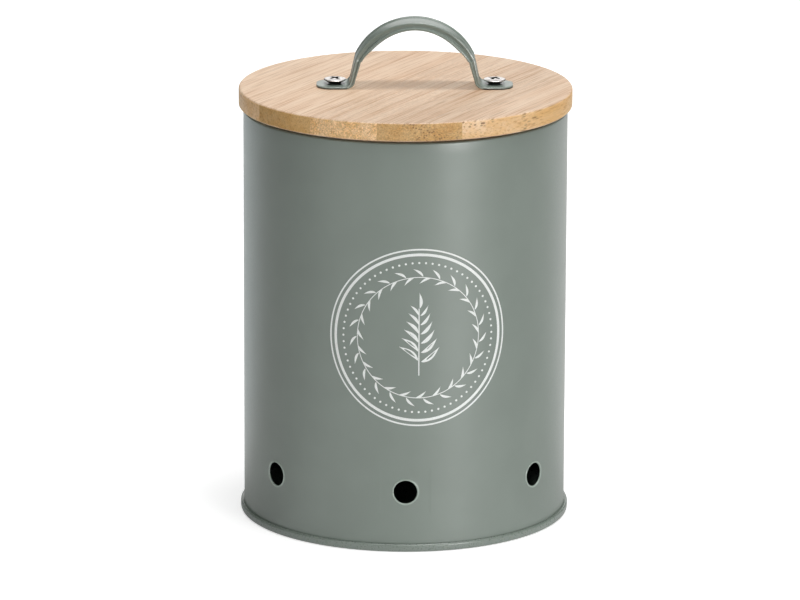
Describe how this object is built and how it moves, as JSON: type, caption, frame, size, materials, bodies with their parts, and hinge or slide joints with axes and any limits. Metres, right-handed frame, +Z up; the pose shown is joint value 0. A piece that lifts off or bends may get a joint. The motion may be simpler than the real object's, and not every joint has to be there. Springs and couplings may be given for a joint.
{
  "type": "garlic keeper",
  "caption": "Round sheet-steel storage canister with air vents low in its wall, a double-seamed base, and a lift-off bamboo lid with a sealing ring and a strap handle.",
  "frame": {"origin": "middle of the ring that the canister stands on", "axes": "+Z up along the canister's axis; -Y towards the front, where one vent faces; +X to the right seen from the front"},
  "size_m": [0.1284, 0.1284, 0.194],
  "materials": {
    "sage_paint": "satin",
    "bamboo": "matte",
    "silicone": "matte",
    "bright_steel": "polished"
  },
  "bodies": {
    "canister": {"canister_wall": "sage_paint", "base_disc": "sage_paint"},
    "seal": {"seal_ring": "silicone"},
    "lid": {"lid_strip_1": "bamboo", "lid_strip_2": "bamboo", "lid_strip_3": "bamboo", "lid_strip_4": "bamboo", "lid_strip_5": "bamboo", "lid_strip_6": "bamboo", "plug_strip_1": "bamboo", "plug_strip_2": "bamboo", "plug_strip_3": "bamboo", "plug_strip_4": "bamboo", "plug_strip_5": "bamboo", "lid_handle": "sage_paint", "screw_left": "bright_steel", "screw_right": "bright_steel"}
  },
  "joints": [
    {"name": "lid_lift", "type": "slide", "parent": "canister", "child": "seal", "axis": [0, 0, 1], "range_m": [0, 0.09]},
    {"name": "lid_turn", "type": "hinge", "parent": "seal", "child": "lid", "pos_m": [0, 0, 0.1605], "axis": [0, 0, 1], "continuous": true}
  ]
}
